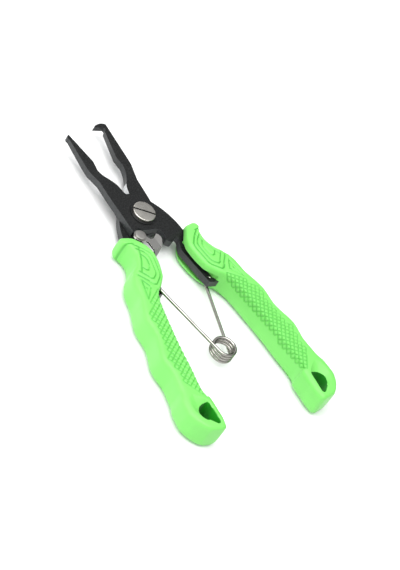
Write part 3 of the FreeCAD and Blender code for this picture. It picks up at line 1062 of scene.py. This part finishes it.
@dataclass
class ReturnSpring:
    """The torsion spring: one wire with a bent tip in each tang and a coil between the handles."""

    wire_r: float = 0.825
    coil_r: float = 5.68
    coil_y: float = -82.2
    leg_z: float = 3.1
    anchor: tuple[float, float] = (8.2, -45.35)
    tip_reach: float = 5.8
    bend_r: float = 1.5
    coil_turn: float = 3.5 * math.pi
    dome_share: float = 0.3
    dome_rows: int = 6
    twist_reach: float = 4.84
    twist_lean: float = -0.58
    sides: int = 24

    def half_path(self) -> tuple[Array, Array]:
        """Return the line of the front half of the wire from its tip, and its sideways directions.

        Formula: a straight tip, a quarter circle, a straight leg that touches the coil's circle, and a
        helix that turns clockwise from there and rises to z = 0. Sideways is level: across the leg, and
        away from the axis on the coil.
        """
        ax, ay = rotate(*self.anchor, HALF_OPEN_DEG)
        reach = math.hypot(ax, ay - self.coil_y)
        lean = math.atan2(ay - self.coil_y, ax) - math.acos(self.coil_r / reach)
        touch = np.array([
            self.coil_r * math.cos(lean), self.coil_y + self.coil_r * math.sin(lean), -self.leg_z,
        ])
        foot = np.array([ax, ay, -self.leg_z])
        leg = touch - foot
        length = np.linalg.norm(leg)
        ahead = leg / length
        up = np.array([0.0, 0.0, 1.0])
        rise = np.linspace(self.tip_reach, self.bend_r, 12)[:-1, None]
        swing = np.linspace(0.0, math.pi / 2, 10)[:-1, None]
        reach_out = np.linspace(self.bend_r, length, 110)[:-1, None]
        centre = foot + self.bend_r * (ahead + up)
        straight = np.concatenate([
            foot + rise * up,
            centre - self.bend_r * (np.cos(swing) * ahead + np.sin(swing) * up),
            foot + reach_out * ahead,
        ])
        part = np.linspace(0.0, 1.0, 160)
        angle = lean - (self.coil_turn + lean) * part
        coil = np.stack([
            self.coil_r * np.cos(angle), self.coil_y + self.coil_r * np.sin(angle), self.leg_z * (part - 1.0),
        ], axis=1)
        out = np.stack([np.cos(angle), np.sin(angle), np.zeros_like(angle)], axis=1)
        level = np.broadcast_to([math.cos(lean), math.sin(lean), 0.0], straight.shape)
        return np.concatenate([straight, coil]), np.concatenate([level, out])

    def build(self) -> Piece:
        """Return the whole wire as one closed tube with domed ends.

        The rear half is the front half turned over about Y, run backwards. Round each point of the line
        lies the circle level cos t + lift sin t, where lift is square to the line and to level.
        """
        half, side = self.half_path()
        over = np.array([-1.0, 1.0, -1.0])
        line = np.concatenate([half[:-1], (half * over)[::-1]])
        level = np.concatenate([side[:-1], (side * np.array([-1.0, 1.0, 1.0]))[::-1]])
        ahead = np.gradient(line, axis=0)
        ahead /= np.linalg.norm(ahead, axis=1, keepdims=True)
        level = level - (level * ahead).sum(axis=1, keepdims=True) * ahead
        level /= np.linalg.norm(level, axis=1, keepdims=True)
        lift = np.cross(ahead, level)
        size = np.full(len(line), self.wire_r)
        dome = np.sin(np.linspace(0.0, math.pi / 2, self.dome_rows + 1))[:-1]
        long = self.dome_share * self.wire_r
        shift = long * (1.0 - np.sqrt(1.0 - dome ** 2))
        line = np.concatenate([
            line[:1] + shift[:, None] * ahead[0], line[:1] + long * ahead[0], line[1:-1],
            line[-1:] - long * ahead[-1], (line[-1:] - shift[:, None] * ahead[-1])[::-1],
        ])
        size = np.concatenate([dome * self.wire_r, size, (dome * self.wire_r)[::-1]])[:, None, None]
        rows = ((self.dome_rows, self.dome_rows), (0, 0))
        level, lift = (np.pad(way, rows, "edge") for way in (level, lift))
        t = np.linspace(0.0, 2 * math.pi, self.sides, endpoint=False)[None, :, None]
        grid = line[:, None, :] + size * (np.cos(t) * level[:, None, :] + np.sin(t) * lift[:, None, :])
        return settle(Skin(grid).piece("return_spring"))

    def dress(self, piece: Piece) -> None:
        """Polish the wire, bake its place into its mesh and hide the two CAD spring legs that it stands for.
        """
        coat(piece, DRAWN_WIRE.material())
        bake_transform(piece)
        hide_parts("spring_front", "spring_rear")
        LOG.info("return_spring: %d corners, twists between the two spring legs", len(piece.data.vertices))


# ---- Studio ----

@dataclass
class Studio:
    """Pale paper, soft boxes and the camera."""

    floor_half: float = 3.0
    eye: Triple = (-0.7207, -0.4255, 0.7800)
    right: Triple = (0.7463, -0.5025, 0.4366)
    up: Triple = (0.1817, 0.7847, 0.5926)
    back: Triple = (-0.6404, -0.3629, 0.6769)
    lens: float = 145.37
    bright_side: Triple = (-0.35, -0.2, 0.915)
    dark_room: float = 0.06
    bright_room: float = 1.15
    aim: Triple = (0.0, 0.0, 0.008)
    paper_points: int = 41
    boxes: tuple = (
        ("top_box", (-0.25, -0.05, 1.5), (1.5, 1.5), 22.0),
        ("left_box", (-0.62, 0.28, 0.55), (0.6, 0.6), 2.6),
        ("rear_box", (0.5, 1.4, 0.8), (1.4, 0.6), 2.5),
    )

    def floor(self) -> None:
        """Lay a sheet of paper, a grid of points with a faint slow swell far from the part."""
        line = np.linspace(-self.floor_half, self.floor_half, self.paper_points)
        x, y = np.meshgrid(line, line, indexing="ij")
        swell = -0.0002 - 0.002 * ramp(0.6, 2.5, np.hypot(x, y))
        index = np.arange(self.paper_points ** 2).reshape(self.paper_points, -1)
        faces = np.stack([index[:-1, :-1], index[1:, :-1], index[1:, 1:], index[:-1, 1:]], axis=-1)
        mesh = bpy.data.meshes.new("studio_paper")
        points = np.stack([x, y, swell], axis=-1).reshape(-1, 3)
        mesh.from_pydata(points.tolist(), [], faces.reshape(-1, 4).tolist())
        shade(mesh)
        mesh.materials.append(PALE_PAPER.material())
        add_object(mesh)

    def light(self, name: str, place: Sequence[float], size: tuple[float, float], power: float) -> None:
        """Hang one soft box that faces the part.

        Args:
            name: Name of the light.
            place: Where it hangs, in metres.
            size: Width and height.
            power: Watts.
        """
        lamp = bpy.data.lights.new(name, "AREA")
        lamp.shape, lamp.size, lamp.size_y, lamp.energy = "RECTANGLE", size[0], size[1], power
        holder = bpy.data.objects.new(name, lamp)
        holder.location = place
        holder.rotation_euler = (Vector(self.aim) - Vector(place)).to_track_quat("-Z", "Y").to_euler()
        bpy.context.scene.collection.objects.link(holder)

    def build(self) -> None:
        """Set the paper, the lights, the surrounding tone and the camera."""
        self.floor()
        world = bpy.data.worlds.new("studio_room")
        world.use_nodes = True
        shell = world.node_tree.nodes["Background"]
        shell.inputs["Color"].default_value = linear("#E8EAEC")
        around = add_node(world.node_tree, "TexCoord").outputs["Generated"]
        toward = add_node(
            world.node_tree, "VectorMath", {0: around, 1: self.bright_side}, operation="DOT_PRODUCT",
        )
        tone = add_node(world.node_tree, "MapRange", {
            "Value": toward.outputs["Value"], "From Min": -0.1, "From Max": 0.7,
            "To Min": self.dark_room, "To Max": self.bright_room,
        })
        world.node_tree.links.new(tone.outputs["Result"], shell.inputs["Strength"])
        bpy.context.scene.world = world
        for box in self.boxes:
            self.light(*box)
        camera = bpy.data.objects.new("camera", bpy.data.cameras.new("camera"))
        axes = Matrix((self.right, self.up, self.back)).transposed()
        camera.matrix_world = Matrix.Translation(self.eye) @ axes.to_4x4()
        camera.data.sensor_width, camera.data.lens = 36.0, self.lens
        camera.data.clip_start, camera.data.clip_end = 0.05, 20.0
        bpy.context.scene.collection.objects.link(camera)
        bpy.context.scene.camera = camera
        bpy.context.scene.view_settings.view_transform = "Standard"


def main() -> None:
    """Load the frame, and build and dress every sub-assembly."""
    logging.basicConfig(level=logging.INFO, format="%(name)s: %(message)s")
    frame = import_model()
    nodes = frame["nodes"]
    Studio().build()
    grips, levers, pivot, latch, spring = Grips(), Levers(), Pivot(), Latch(), ReturnSpring()
    grips.dress(grips.build())
    levers.dress(levers.build(nodes))
    pivot.dress(pivot.build())
    latch.dress(latch.build(nodes), nodes)
    spring.dress(spring.build())


if __name__ == "__main__":
    main()
